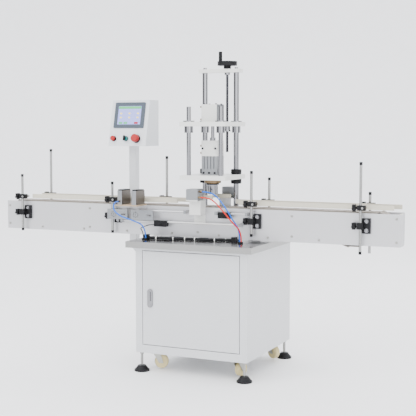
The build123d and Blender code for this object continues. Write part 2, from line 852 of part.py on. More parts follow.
def stop_brackets():
    face = front_face_y
    y1 = face - 36
    y0 = y1 - bracket_sheet
    z0 = conveyor_bottom + 73
    pieces = []
    for x0, x1, ring_x in ((-497.0, -388.0, -463.0), (-369.0, -252.0, -344.0)):
        plate = block(x0, x1, y0, y1, z0, z0 + 48)
        plate -= hole_ring(ring_x, z0 + 24, y0 - 1, y1 + 1)
        plate -= block(x1 - 34, x1 - 10, y0 - 1, y1 + 1, z0 + 20, z0 + 28)
        plate += block(x1 - 50, x1 - 36, y1, face, z0 + 6, z0 + 42)
        pieces.append(plate)
    z1 = stop_base_z
    x0 = stop_x[0] - stop_width / 2 - 8
    x1 = stop_x[1] + stop_width / 2 + 8
    shelf = block(x0, x1, face - 95, face, z1 - stop_shelf, z1)
    web = block(x0, x1, face - bracket_sheet, face, z0 + 50, z1)
    pieces.append(shelf + web)
    return pieces


def stop_front():
    return front_face_y - 95.0


def stop_cylinders():
    pieces = []
    y0 = stop_front()
    y1 = y0 + stop_depth
    z = stop_base_z
    for x in stop_x:
        half = stop_width / 2
        body = block(x - half, x + half, y0, y1, z, z + stop_height)
        body = fillet(body.edges().filter_by(Axis.Z), 3)
        body -= rod_y(x, y0 + 15, y1 + 1, z + stop_height - stop_lift, stop_rod_radius + running_gap)
        cap = block(x - half - 2, x + half + 2, y0 + 12, y1 - 12, z + stop_height, z + stop_height + 5)
        pieces.append(body + cap)
    return pieces


def stop_rod(index):
    x = stop_x[index]
    y1 = stop_front() + stop_depth
    z = stop_base_z + stop_height - stop_lift
    rod = rod_y(x, y1 - 68, y1 + 6, z, stop_rod_radius)
    half = stop_finger / 2
    z0 = rail_z + rail_height + 3
    return rod + block(x - half, x + half, y1 + 4, y1 + 10, z0, z + 10)


# ---------------------------------------------------------------- bottle clamps

def clamp_frame(side):
    x = head_x + side * clamp_shift
    inner = head_y + side * (jaw_opening + jaw_thickness + clamp_travel + 2)
    return x, inner


def clamp_brackets():
    pieces = []
    z1 = jaw_z - 4
    for side in (-1, 1):
        x, inner = clamp_frame(side)
        face = front_face_y if side < 0 else rear_face_y
        half = clamp_width / 2
        outer = inner + side * clamp_depth
        y0, y1 = sorted((face, outer))
        y2, y3 = sorted((face, face + side * 5))
        shelf = block(x - half, x + half, y0, y1, z1, z1 + 4)
        web = block(x - half, x + half, y2, y3, conveyor_bottom + 60, z1)
        pieces.append(shelf + web)
    x, inner = clamp_frame(-1)
    y1 = front_face_y - 5
    half = support_width / 2
    pieces.append(block(x - half, x + half, y1 - support_depth, y1, z1 - support_height, z1))
    return pieces


def clamp_cylinders():
    pieces = []
    for side in (-1, 1):
        x, inner = clamp_frame(side)
        half = clamp_width / 2
        y0, y1 = sorted((inner, inner + side * clamp_depth))
        body = block(x - half, x + half, y0, y1, jaw_z, jaw_z + clamp_height)
        body = fillet(body.edges().filter_by(Axis.Y), 4)
        for shift in (-16, 16):
            a, b = sorted((inner - side * 1, inner + side * (clamp_depth - 8)))
            body -= rod_y(x + shift, a, b, jaw_z + jaw_height / 2, clamp_rod_radius + running_gap)
        pieces.append(body)
    x, inner = clamp_tube_start()
    for route in (clamp_tube_route(), red_tube_route()):
        end_x, y, z = route[0]
        pieces.append(rod_x(x, end_x, y, z, fitting_radius))
    x, end_y, z = stop_tube_route()[0]
    pieces.append(rod_y(x, end_y, stop_front(), z, fitting_radius))
    return pieces


def clamp_jaw(side):
    x, inner = clamp_frame(side)
    half = clamp_width / 2
    back = head_y + side * (jaw_opening + jaw_thickness)
    front = head_y + side * jaw_opening
    y0, y1 = sorted((back, front))
    a, b = sorted((x - half, head_x))
    if side > 0:
        a, b = sorted((x + half, head_x))
    a = min(a, head_x - jaw_pad_width / 2)
    b = max(b, head_x + jaw_pad_width / 2)
    jaw = block(a, b, y0, y1, jaw_z, jaw_z + jaw_height)
    jaw -= Pos(head_x, front, jaw_z + jaw_height / 2) * Rot(0, 0, 45) * Box(15, 15, jaw_height + 2)
    for shift in (-16, 16):
        c, d = sorted((back, inner + side * 28))
        jaw += rod_y(x + shift, c, d, jaw_z + jaw_height / 2, clamp_rod_radius)
    return jaw


# ---------------------------------------------------------------- control box

def box_slope():
    return atan2(box_depth_bottom - box_depth_top, box_height)


def box_front_plane():
    t = box_slope()
    origin = (box_centre_x, box_back_y - box_depth_bottom, box_bottom_z)
    return Plane(origin=origin, x_dir=(1, 0, 0), z_dir=(0, -cos(t), sin(t)))


def box_profile(inset):
    t = box_slope()
    shift = inset / cos(t)
    z0, z1 = box_bottom_z + inset, box_bottom_z + box_height - inset
    back = box_back_y - inset
    front0 = box_back_y - box_depth_bottom + shift + inset * tan(t)
    front1 = box_back_y - box_depth_top + shift - inset * tan(t)
    line = Polyline((front0, z0), (back, z0), (back, z1), (front1, z1), close=True)
    return extrude(Plane.YZ * make_face(line), box_width / 2 - inset, both=True)


def control_box():
    face = box_front_plane()
    box = Pos(box_centre_x, 0, 0) * (box_profile(0) - box_profile(box_sheet))
    for x, r in zip(button_x, stem_radius):
        box -= face * Pos(x, button_row, 0) * Cylinder(r + 0.3, 20)
    length = hypot(box_height, box_depth_bottom - box_depth_top)
    y = length - screen_margin - screen_height / 2
    box -= face * Pos(0, y, 0) * Box(screen_width - 16, screen_height - 16, 20)
    rings = []
    for x, r, size in zip(button_x, stem_radius, button_radius):
        ring = Cylinder(size + 1.5, 3) - Cylinder(r + 0.3, 10)
        rings.append(face * Pos(x, button_row, 1.5) * ring)
    return [box] + rings


def touch_screen():
    face = box_front_plane()
    length = hypot(box_height, box_depth_bottom - box_depth_top)
    y = length - screen_margin - screen_height / 2
    frame = Box(screen_width, screen_height, screen_proud)
    frame = fillet(frame.edges().filter_by(Axis.Z), 4)
    frame = Pos(0, y, screen_proud / 2) * frame
    frame -= Pos(0, y, screen_proud) * Box(screen_width - 38, screen_height - 34, 2)
    back = Pos(0, y, -14) * Box(screen_width - 18, screen_height - 18, 28)
    return face * (frame + back)


def push_button(index):
    face = box_front_plane()
    x, r = button_x[index], stem_radius[index]
    z0 = 3 + button_travel + 0.5
    size = button_radius[index]
    cap = Pos(x, button_row, z0 + button_height[index] / 2) * Cylinder(size, button_height[index])
    cap = fillet(cap.edges().filter_by(GeomType.CIRCLE), 2.5)
    stem = Pos(x, button_row, (z0 - 16) / 2) * Cylinder(r, z0 + 16)
    return face * (cap + stem)


def start_switch():
    face = box_front_plane()
    size = button_radius[1]
    lever = Pos(button_x[1], button_row, 3.5 + button_height[1] + 8) * Box(8, size * 2.2, 8)
    lever += Pos(button_x[1], button_row, 3.5 + button_height[1] + 2) * Box(8, size, 5)
    knob = Pos(button_x[1], button_row, 3.5 + button_height[1] / 2) * Cylinder(size, button_height[1])
    stem = Pos(button_x[1], button_row, -6) * Cylinder(stem_radius[1], 20)
    return face * (lever + knob + stem)


def box_post():
    half = post_tube / 2
    inner = half - post_tube_wall
    w, d = cabinet_half()
    z0 = cabinet_top - table_lip - post_arm_drop
    z1 = z0 + post_tube
    tube = block(post_x - half, post_x + half, post_y - half, post_y + half, z0, box_bottom_z)
    tube -= block(post_x - inner, post_x + inner, post_y - inner, post_y + inner, z0 - 1, box_bottom_z + 1)
    arm = block(post_x + half, -w, post_y - half, post_y + half, z0, z1)
    arm -= block(post_x + half - 1, -w + 1, post_y - inner, post_y + inner, z0 + post_tube_wall, z1 - post_tube_wall)
    line = Polyline((post_x - half, z0), (-w, z0), (-w, z0 - gusset_drop), close=True)
    gusset = Pos(0, post_y, 0) * extrude(Plane.XZ * make_face(line), gusset_sheet / 2, both=True)
    return tube, arm, gusset


# ---------------------------------------------------------------- sensors and fittings

def sensor_places():
    y = front_face_y - 28
    return ((-215.0, y, conveyor_bottom + 60, 66), (108.0, y, conveyor_bottom + 110, 60))


def rod_places():
    low = conveyor_bottom + 68
    high = conveyor_bottom + 118
    return ((-429.0, 185.0, low), (-331.0, -85.0, high), (60.0, 222.0, high))


def sensor_rods():
    y = front_face_y - 28
    pieces = []
    for x0, x1, z in rod_places():
        pieces.append(rod_x(x0, x1, y, z, sensor_rod_radius))
        for x in (x0 + 6, x1 - 6):
            foot = block(x - 6, x + 6, y - 8, front_face_y, z - 8, z + 8)
            pieces.append(foot - rod_x(x0, x1, y, z, sensor_rod_radius + seat_gap))
    return pieces


def sensors():
    pieces = []
    for x, y, z, length in sensor_places():
        body = block(x - length / 2, x + length / 2, y - 12, y + 10, z - 14, z + 14)
        lens = rod_y(x, y - 16, y - 12, z - 4, 7)
        body += lens
        for x0, x1, rod_z_at in rod_places():
            body -= rod_x(x0, x1, y, rod_z_at, sensor_rod_radius + seat_gap)
        pieces.append(body)
    return pieces


def table_grommets():
    pieces = []
    for x, y in grommet_places():
        z0, z1 = table_top_z, table_top_z + grommet_height
        pieces.append(rod_z(x, y, z0, z1, grommet_radius))
    for x0, x1, y in loom_glands():
        half = gland_size / 2
        pieces.append(block(x0, x1, y - half, y + half, table_top_z, table_top_z + gland_size))
    return pieces


def loom_glands():
    left, right = loom_route()[0], loom_route()[-1]
    return (left[0] - gland_size, left[0], left[1]), (right[0], right[0] + gland_size, right[1])


# ---------------------------------------------------------------- tubes and cables

def loom_route():
    z = table_top_z + loom_diameter / 2 + loom_lift
    return ((-255, -185, z), (-185, -185, z), (-75, -158, z), (30, -158, z), (95, -126, z), (140, -126, z))


def stop_tube_route():
    gx, gy = grommet_places()[0]
    z = table_top_z + grommet_height
    x, y = stop_x[0], stop_front() - fitting_length
    route = [(x, y, z + 165), (x, y - 40, z + 165), (x + 8, y - 62, z + 132), (x + 38, y - 54, z + 103)]
    return route + [(gx - 50, gy - 43, z + 87), (gx + 4, gy + 4, z + 57), (gx + 4, gy + 4, z)]


def clamp_tube_start():
    x, inner = clamp_frame(-1)
    return x + clamp_width / 2, inner


def clamp_tube_route():
    x, y = clamp_tube_start()
    gx, gy = grommet_places()[1]
    z = table_top_z + grommet_height
    x += fitting_length
    y -= 36
    route = [(x, y, z + 219), (x + 38, y, z + 219), (x + 84, y - 20, z + 199), (x + 131, y - 35, z + 152)]
    return route + [(gx - 24, gy - 30, z + 99), (gx - 4, gy, z + 52), (gx - 4, gy, z)]


def red_tube_route():
    x, y = clamp_tube_start()
    gx, gy = grommet_places()[1]
    z = table_top_z + grommet_height
    x += fitting_length
    y -= 51
    route = [(x, y, z + 194), (x + 36, y, z + 194), (x + 82, y - 24, z + 177), (x + 132, y - 42, z + 135)]
    return route + [(gx - 20, gy - 47, z + 89), (gx + 4, gy, z + 47), (gx + 4, gy, z)]


def sensor_cable_route():
    sx, y, sz, length = sensor_places()[0]
    x = sx - length / 2
    gx, gy = grommet_places()[0]
    z = table_top_z + grommet_height
    route = [(x, y, sz - 7), (x - 30, y, sz - 7), (x - 52, y - 28, z + 43), (x - 42, y - 68, z + 42)]
    return route + [(gx - 4, gy - 4, z + 27), (gx - 4, gy - 4, z)]


def turn_radii(route):
    radii = []
    points = [Vector(*p) for p in route]
    for a, b, c in zip(points, points[1:], points[2:]):
        first, second = b - a, c - b
        turn = acos(first.dot(second) / (first.length * second.length))
        radii.append(round(0.45 * min(first.length, second.length) / tan(turn / 2), 1))
    return radii


def cord(name, route, diameter):
    radii = turn_radii(route)
    path = FilletPolyline(*route, radius=radii)
    section = Plane(origin=path @ 0, z_dir=path % 0) * Circle(diameter / 2)
    print(name, "length", round(path.length, 1), "radii", radii)
    save(name, sweep(section, path=path))


def main():
    os.makedirs("parts", exist_ok=True)
    save("cabinet_shell", cabinet_shell())
    save("table_top", table_top())
    save("cabinet_door", cabinet_door())
    save("door_hinge_pins", *door_hinge_pins())
    save("door_latch", door_latch())
    save("electrics", *electrics())
    save("foot_pads", *foot_pads())
    save("foot_studs", *foot_studs())
    save("castor_plates", *castor_plates())
    for i in range(4):
        save(f"castor_fork_{i + 1}", castor_fork(i))
        save(f"castor_wheel_{i + 1}", castor_wheel(i))
    save("side_plates", *side_plates())
    save("conveyor_crossbars", *conveyor_crossbars())
    save("slat_chain", slat_chain())
    save("drive_shaft", *drive_shaft())
    save("idler_shaft", *idler_shaft())
    save("gear_motor", gear_motor())
    save("guide_rails", *guide_rails())
    save("rail_posts", *rail_posts())
    save("rail_clamps", *rail_clamps())
    save("back_columns", *back_columns())
    save("top_bar", *top_bar())
    save("lead_screw", lead_screw())
    save("handwheel", handwheel())
    save("crank_grip", crank_grip())
    save("head_plate", head_plate())
    save("head_bushings", *head_bushings())
    save("lift_cylinder", *lift_cylinder())
    save("tool_plate", tool_plate())
    save("guide_columns", *guide_columns())
    save("chuck_cylinder", *chuck_cylinder())
    save("spindle_housing", *spindle_housing())
    save("column_bumpers", *column_bumpers())
    save("chuck", *chuck())
    save("cylinder_brackets", *stop_brackets(), *clamp_brackets(), *sensor_rods())
    save("air_cylinders", *stop_cylinders(), *clamp_cylinders())
    save("stop_rod_1", stop_rod(0))
    save("stop_rod_2", stop_rod(1))
    save("front_clamp_jaw", clamp_jaw(-1))
    save("rear_clamp_jaw", clamp_jaw(1))
    save("control_box", *control_box())
    save("touch_screen", touch_screen())
    save("stop_button", push_button(0))
    save("start_switch", start_switch())
    save("emergency_stop", push_button(2))
    save("box_post", *box_post())
    save("sensors", *sensors())
    save("table_grommets", *table_grommets())
    cord("stop_air_tube", stop_tube_route(), tube_diameter)
    cord("clamp_air_tube", clamp_tube_route(), tube_diameter)
    cord("red_air_tube", red_tube_route(), tube_diameter)
    cord("sensor_cable", sensor_cable_route(), cable_diameter)
    cord("cable_loom", loom_route(), loom_diameter)


main()
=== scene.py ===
from math import atan2, cos, hypot, pi, radians, sin

import bmesh
import bpy
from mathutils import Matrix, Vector


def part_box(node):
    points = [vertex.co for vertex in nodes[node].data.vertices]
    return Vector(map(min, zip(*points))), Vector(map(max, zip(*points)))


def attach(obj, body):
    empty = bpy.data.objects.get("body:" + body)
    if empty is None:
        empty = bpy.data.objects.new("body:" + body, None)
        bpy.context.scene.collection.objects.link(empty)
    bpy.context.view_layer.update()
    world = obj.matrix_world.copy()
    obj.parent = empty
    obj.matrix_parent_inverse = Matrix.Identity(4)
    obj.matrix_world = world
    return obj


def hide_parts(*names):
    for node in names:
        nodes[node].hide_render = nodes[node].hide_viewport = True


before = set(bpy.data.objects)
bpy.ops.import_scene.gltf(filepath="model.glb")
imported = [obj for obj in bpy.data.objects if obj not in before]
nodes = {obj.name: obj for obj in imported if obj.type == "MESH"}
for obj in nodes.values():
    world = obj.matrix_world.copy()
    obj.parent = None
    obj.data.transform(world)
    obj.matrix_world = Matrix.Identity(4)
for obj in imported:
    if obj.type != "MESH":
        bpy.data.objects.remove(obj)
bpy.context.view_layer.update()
print("frame loaded")

# camera
camera = {"place": (1.8765, -4.1986, 1.1224), "azimuth": 24.5, "down": 4.5,
          "lens": 84.9, "sensor": 36, "shiftY": -0.008}
camData = bpy.data.cameras.new("camera")
camData.lens, camData.sensor_width, camData.shift_y = camera["lens"], camera["sensor"], camera["shiftY"]
camObject = bpy.data.objects.new("camera", camData)
bpy.context.scene.collection.objects.link(camObject)
az, down = radians(camera["azimuth"]), radians(camera["down"])
look = Vector((-sin(az) * cos(down), cos(az) * cos(down), -sin(down)))
camObject.location = camera["place"]
camObject.rotation_mode = "QUATERNION"
camObject.rotation_quaternion = look.to_track_quat("-Z", "Y")
bpy.context.scene.camera = camObject
print("camera placed")


# one socket, with arithmetic written as sums
class Wire:
    def __init__(self, graph, socket):
        self.graph, self.socket = graph, socket

    def calc(self, kind, *others):
        return self.graph.node("ShaderNodeMath", [self, *others], operation=kind)[0]

    def __add__(self, other):
        return self.calc("ADD", other)

    def __sub__(self, other):
        return self.calc("SUBTRACT", other)

    def __mul__(self, other):
        return self.calc("MULTIPLY", other)

    def __rsub__(self, other):
        return self.graph.node("ShaderNodeMath", [other, self], operation="SUBTRACT")[0]

    __radd__, __rmul__ = __add__, __mul__


class Graph:
    def __init__(self, tree):
        self.tree = tree

    def node(self, kind, inputs=(), **settings):
        made = self.tree.nodes.new(kind)
        for name, value in settings.items():
            setattr(made, name, value)
        pairs = inputs.items() if isinstance(inputs, dict) else enumerate(inputs)
        for key, value in pairs:
            if isinstance(value, Wire):
                self.tree.links.new(value.socket, made.inputs[key])
            else:
                made.inputs[key].default_value = value
        return [Wire(self, s) for s in made.outputs]


# what a finish has when it names nothing else
usual = {"stretch": (1, 1, 1), "broad": 6, "fine": 160, "vary": 0.10, "grain": 0.06, "roughSwing": 1.5,
         "metal": 0, "coat": 0, "shine": 0.5, "bump": 0.05, "bumpDepth": 0.0005}


def surface(name, own):
    s = {**usual, **own}
    mat = bpy.data.materials.new(name)
    mat.use_nodes = True
    shader = mat.node_tree.nodes["Principled BSDF"]
    g = Graph(mat.node_tree)
    place = g.node("ShaderNodeTexCoord")[3]
    drawn = g.node("ShaderNodeMapping", {"Vector": place, "Scale": s["stretch"]})[0]
    broad = g.node("ShaderNodeTexNoise", {"Vector": place, "Scale": s["broad"], "Detail": 3})[0]
    fine = g.node("ShaderNodeTexNoise", {"Vector": drawn, "Scale": s["fine"], "Detail": 2})[0]
    spread = (broad - 0.5) * s["vary"] + (fine - 0.5) * s["grain"]
    tone = g.node("ShaderNodeHueSaturation", {"Value": spread + 1, "Color": (*s["color"], 1)})[0]
    g.tree.links.new(tone.socket, shader.inputs["Base Color"])
    rough = spread * s["roughSwing"] + s["rough"]
    g.tree.links.new(rough.socket, shader.inputs["Roughness"])
    shader.inputs["Metallic"].default_value = s["metal"]
    shader.inputs["Coat Weight"].default_value = s["coat"]
    shader.inputs["Specular IOR Level"].default_value = s["shine"]
    bump = g.node("ShaderNodeBump", {"Strength": s["bump"], "Distance": s["bumpDepth"], "Height": fine})[0]
    g.tree.links.new(bump.socket, shader.inputs["Normal"])
    if "glow" in s:
        shader.inputs["Emission Strength"].default_value = s["glow"]
        g.tree.links.new(tone.socket, shader.inputs["Emission Color"])
    return mat


finishes = {
    "cabinetPaint": {"color": (0.56, 0.57, 0.58), "rough": 0.30, "metal": 0.45, "stretch": (1, 1, 12),
                     "fine": 90, "grain": 0.05, "vary": 0.05},
    "stainless": {"color": (0.30, 0.30, 0.29), "rough": 0.22, "metal": 1, "stretch": (1, 14, 14),
                  "fine": 90, "grain": 0.14},
    "platePaint": {"color": (0.50, 0.50, 0.51), "rough": 0.34, "metal": 0.5, "stretch": (1, 1, 9), "fine": 120},
    "chrome": {"color": (0.24, 0.24, 0.25), "rough": 0.10, "metal": 1, "vary": 0.04, "grain": 0.03, "bump": 0.01},
    "black": {"color": (0.008, 0.008, 0.009), "shine": 0.15, "rough": 0.42, "fine": 900, "grain": 0.12,
              "vary": 0.25, "bump": 0.15},
    "darkSteel": {"color": (0.04, 0.04, 0.045), "rough": 0.3, "metal": 1, "stretch": (1, 1, 40),
                  "fine": 14, "grain": 0.3},
    "milky": {"color": (0.66, 0.66, 0.63), "rough": 0.34, "coat": 0.1, "grain": 0.03, "vary": 0.05},
    "aluminium": {"color": (0.26, 0.27, 0.28), "rough": 0.36, "metal": 0.9, "stretch": (14, 14, 1),
                  "fine": 60, "grain": 0.1},
    "bronze": {"color": (0.20, 0.14, 0.08), "rough": 0.34, "metal": 1, "vary": 0.2},
    "chainPlastic": {"color": (0.23, 0.20, 0.17), "rough": 0.5, "vary": 0.3, "grain": 0.12},
    "ivory": {"color": (0.50, 0.47, 0.38), "rough": 0.45, "vary": 0.06},
    "paleYellow": {"color": (0.55, 0.46, 0.22), "rough": 0.4, "vary": 0.12},
    "zinc": {"color": (0.36, 0.36, 0.33), "rough": 0.4, "metal": 1, "vary": 0.2},
    "boxPaint": {"color": (0.58, 0.60, 0.62), "rough": 0.4, "fine": 600, "vary": 0.05},
    "slate": {"color": (0.055, 0.07, 0.09), "shine": 0.2, "rough": 0.45, "vary": 0.1},
    "red": {"color": (0.30, 0.002, 0.002), "shine": 0.2, "rough": 0.35, "coat": 0.1, "vary": 0.12},
    "teal": {"color": (0.004, 0.16, 0.15), "rough": 0.35, "coat": 0.1, "vary": 0.12},
    "anodised": {"color": (0.13, 0.115, 0.10), "rough": 0.35, "metal": 0.85, "stretch": (1, 14, 1),
                 "fine": 60, "grain": 0.2},
    "redTube": {"color": (0.50, 0.010, 0.002), "shine": 0.2, "rough": 0.35, "coat": 0.1, "vary": 0.12},
    "blue": {"color": (0.0, 0.10, 0.50), "shine": 0.2, "rough": 0.35, "coat": 0.1, "vary": 0.12},
    "tan": {"color": (0.34, 0.25, 0.16), "rough": 0.45, "vary": 0.15},
    "display": {"color": (0.22, 0.25, 0.62), "rough": 0.25, "glow": 0.35, "vary": 0.06, "grain": 0.0},
    "displayGreen": {"color": (0.02, 0.32, 0.08), "rough": 0.25, "glow": 0.3, "vary": 0.06},
    "displayYellow": {"color": (0.85, 0.65, 0.06), "rough": 0.25, "glow": 0.3, "vary": 0.06},
    "whiteTie": {"color": (0.80, 0.80, 0.76), "rough": 0.4, "vary": 0.1},
    "floorPaint": {"color": (0.90, 0.90, 0.90), "rough": 0.55, "vary": 0.04, "grain": 0.02},
}
mats = {name: surface(name, s) for name, s in finishes.items()}
print("finishes made")

# what each CAD node is made of
plain = {
    "cabinetPaint": ["cabinet_shell", "cabinet_door", "box_post"],
    "stainless": ["table_top", "foot_studs", "castor_plates", "door_hinge_pins"],
    "platePaint": ["side_plates", "electrics"],
    "chrome": ["door_latch", "back_columns", "guide_columns", "head_bushings", "stop_rod_1", "stop_rod_2",
               "drive_shaft", "idler_shaft"],
    "black": ["rail_clamps", "handwheel", "crank_grip", "foot_pads", "sensors", "table_grommets", "column_bumpers"],
    "darkSteel": ["lead_screw"],
    "milky": ["head_plate", "tool_plate"],
    "ivory": ["guide_rails", "front_clamp_jaw", "rear_clamp_jaw"],
    "aluminium": ["gear_motor"],
    "chainPlastic": ["slat_chain"],
    "paleYellow": [f"castor_wheel_{i}" for i in range(1, 5)],
    "zinc": [f"castor_fork_{i}" for i in range(1, 5)],
    "red": ["stop_button", "emergency_stop"],
}


def paint(name, choices, rule=lambda c, n: 0):
    mesh = nodes[name].data
    mesh.materials.clear()
    for choice in choices:
        mesh.materials.append(mats[choice])
    for face in mesh.polygons:
        face.material_index = rule(face.center, face.normal)


for finish, names in plain.items():
    for name in names:
        paint(name, [finish])

boxLow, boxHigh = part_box("control_box")
boxLean = 0.050  # how far the front leans back from foot to top
slope = atan2(boxLean, boxHigh.z - boxLow.z)
faceOut = Vector((0, -cos(slope), sin(slope)))
faceUp = Vector((0, sin(slope), cos(slope)))
faceFoot = Vector(((boxLow.x + boxHigh.x) / 2, boxLow.y, boxLow.z))


def offFace(point):
    return (point - faceFoot).dot(faceOut)


# where one finish of a node ends and the next begins, in the frame's own metres
seam = {"boxFace": 0.0004, "switchFace": 0.0126, "bar": (1.3779, 1.3941), "fittings": -0.0304, "nose": 0.8839,
        "sleeve": (0.8138, 0.8584), "wearStrips": (0.7485, 0.7551)}
upright, sideways = 0.9, 0.7  # how squarely a face has to look up, or to the side


def between(value, span):
    return span[0] < value < span[1]


paint("control_box", ["boxPaint", "black"], lambda c, n: int(offFace(c) > seam["boxFace"]))
paint("touch_screen", ["slate"])
paint("start_switch", ["teal", "black"], lambda c, n: int(offFace(c) > seam["switchFace"]))
paint("rail_posts", ["stainless", "black"], lambda c, n: int(abs(n.z) > upright))
paint("top_bar", ["milky", "chrome"], lambda c, n: int(not between(c.z, seam["bar"])))
paint("lift_cylinder", ["milky", "aluminium", "bronze"],
      lambda c, n: 2 if c.x < seam["fittings"] else int(n.x > sideways))
paint("chuck_cylinder", ["milky", "bronze"], lambda c, n: int(c.x < seam["fittings"]))
paint("spindle_housing", ["aluminium", "bronze"], lambda c, n: int(c.z < seam["nose"]))
paint("chuck", ["chrome", "black"], lambda c, n: int(c.z < seam["sleeve"][0] or c.z > seam["sleeve"][1]))
paint("conveyor_crossbars", ["platePaint", "ivory"], lambda c, n: int(between(c.z, seam["wearStrips"])))

# perforated plates, the shelf's upper part, the white block and the front clamp
brackets = {"shelfEnd": -0.29, "shelfStep": 0.754, "blockMid": -0.027, "blockHalf": 0.0285, "clampBack": -0.14}


def bracketFinish(c, n):
    if c.x < brackets["shelfEnd"] and c.z > brackets["shelfStep"]:
        return 1
    if abs(c.x - brackets["blockMid"]) < brackets["blockHalf"]:
        return 2
    return 3 if c.y < brackets["clampBack"] else 0


paint("cylinder_brackets", ["platePaint", "tan", "milky", "aluminium"], bracketFinish)

# two clamp cylinders, two stop cylinders with black tops, and their fittings
airParts = {"clampFittings": (0.0021, 0.0142), "stopFitting": -0.2026, "clampSide": -0.3, "topFoot": 0.8275,
            "faceOn": -0.5}


def airFinish(c, n):
    if between(c.x, airParts["clampFittings"]) or c.y < airParts["stopFitting"]:
        return 2
    if c.x > airParts["clampSide"]:
        return 0
    if c.z > airParts["topFoot"]:
        return 1
    return 3 if n.y > airParts["faceOn"] else 0


paint("air_cylinders", ["aluminium", "black", "bronze", "anodised"], airFinish)
print("CAD painted")


# simple meshes
def newObject(name, mesh):
    made = bpy.data.objects.new(name, mesh)
    bpy.context.scene.collection.objects.link(made)
    return made


def boxPiece(name, size, bevel=0.0):
    bm = bmesh.new()
    bmesh.ops.create_cube(bm, size=1)
    bmesh.ops.scale(bm, vec=size, verts=bm.verts)
    if bevel:
        bmesh.ops.bevel(bm, geom=bm.edges[:], offset=bevel, segments=2, affect="EDGES")
    mesh = bpy.data.meshes.new(name)
    bm.to_mesh(mesh)
    bm.free()
    return newObject(name, mesh)


# profile is (radius, height) pairs, turned about Z
def turnedPiece(name, profile, sides=24):
    bm = bmesh.new()
    rings = []
    for radius, height in profile:
        spots = [(radius * cos(2 * pi * i / sides), radius * sin(2 * pi * i / sides), height) for i in range(sides)]
        rings.append([bm.verts.new(p) for p in spots])
    for lower, upper in zip(rings, rings[1:]):
        for i in range(sides):
            j = (i + 1) % sides
            bm.faces.new((lower[i], lower[j], upper[j], upper[i]))
    bm.faces.new(rings[0])
    bm.faces.new(rings[-1])
    bmesh.ops.recalc_face_normals(bm, faces=bm.faces[:])
    mesh = bpy.data.meshes.new(name)
    bm.to_mesh(mesh)
    bm.free()
    return newObject(name, mesh)


# one tree that puts a piece on every point, turned as the point says
repeatTree = bpy.data.node_groups.new("repeatPiece", "GeometryNodeTree")
sockets = repeatTree.interface
sockets.new_socket(name="Geometry", in_out="INPUT", socket_type="NodeSocketGeometry")
pieceSocket = sockets.new_socket(name="Piece", in_out="INPUT", socket_type="NodeSocketObject")
finishSocket = sockets.new_socket(name="Finish", in_out="INPUT", socket_type="NodeSocketMaterial")
sockets.new_socket(name="Geometry", in_out="OUTPUT", socket_type="NodeSocketGeometry")
g = Graph(repeatTree)
given = g.node("NodeGroupInput")
turn = g.node("GeometryNodeInputNamedAttribute", {"Name": "turn"}, data_type="FLOAT_VECTOR")[0]
rotation = g.node("FunctionNodeEulerToRotation", [turn])[0]
source = g.node("GeometryNodeObjectInfo", [given[1]])[4]
points = g.node("GeometryNodeMeshToPoints", {"Mesh": given[0]})[0]
placed = g.node("GeometryNodeInstanceOnPoints", {"Points": points, "Instance": source, "Rotation": rotation})[0]
solid = g.node("GeometryNodeRealizeInstances", {"Geometry": placed})[0]
g.node("NodeGroupOutput", [g.node("GeometryNodeSetMaterial", {"Geometry": solid, "Material": given[2]})[0]])


# each spot is a place, and may add a turn
def repeat(name, piece, spots, finish, body):
    mesh = bpy.data.meshes.new(name)
    mesh.from_pydata([s[:3] for s in spots], [], [])
    turns = mesh.attributes.new("turn", "FLOAT_VECTOR", "POINT")
    for i, s in enumerate(spots):
        turns.data[i].vector = s[3:] or (0, 0, 0)
    made = newObject(name, mesh)
    step = made.modifiers.new("repeat", "NODES")
    step.node_group = repeatTree
    step[pieceSocket.identifier] = piece
    step[finishSocket.identifier] = mats[finish]
    made.update_tag()
    bpy.context.view_layer.update()
    whole = bpy.data.meshes.new_from_object(made.evaluated_get(bpy.context.evaluated_depsgraph_get()))
    made.modifiers.clear()
    made.data = whole
    bpy.data.objects.remove(piece)
    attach(made, body)
    return made


# cords, on the same route points in millimetres as the CAD
stiffFrom = 0.005  # the diameter that divides medium cords from limp ones


def cordPiece(node, finish, dia, route):
    curve = bpy.data.curves.new(node + "Line", "CURVE")
    curve.dimensions = "3D"
    curve.bevel_depth = dia / 2
    curve.bevel_resolution = 6
    curve.resolution_u = 16
    curve.use_fill_caps = True
    line = curve.splines.new("NURBS")
    line.points.add(len(route) - 1)
    for spot, p in zip(line.points, route):
        spot.co = (p[0] / 1000, p[1] / 1000, p[2] / 1000, 1)
    line.order_u = 3
    line.use_endpoint_u = True
    curve.materials.append(mats[finish])
    made = newObject(node + "Line", curve)
    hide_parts(node)
    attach(made, "machine")
    [c / 1000 for c in route[0]]
    "medium" if dia > stiffFrom else "limp"


cords = {
    "stop_air_tube": ("blue", 0.006, "blue_tube", 0.2977, [
        (-400, -214.5, 778), (-400, -254.5, 778), (-392, -276.5, 745), (-362, -268.5, 716),
        (-312, -258, 700), (-258, -211, 670), (-258, -211, 613)]),
    "clamp_air_tube": ("blue", 0.006, "blue_tube", 0.3292, [
        (14, -175, 832), (52, -175, 832), (98, -195, 812), (145, -210, 765),
        (178, -205, 712), (198, -175, 665), (198, -175, 613)]),
    "red_air_tube": ("redTube", 0.006, "red_tube", 0.3250, [
        (14, -190, 807), (50, -190, 807), (96, -214, 790), (146, -232, 748),
        (182, -222, 702), (206, -175, 660), (206, -175, 613)]),
    "sensor_cable": ("black", 0.004, "cable_jacket", 0.1593, [
        (-248, -135.5, 668), (-278, -135.5, 668), (-300, -163.5, 656), (-290, -203.5, 655),
        (-266, -219, 640), (-266, -219, 613)]),
    "cable_loom": ("black", 0.014, "cable_jacket", 0.4031, [
        (-255, -185, 612.3), (-185, -185, 612.3), (-75, -158, 612.3), (30, -158, 612.3),
        (95, -126, 612.3), (140, -126, 612.3)]),
}
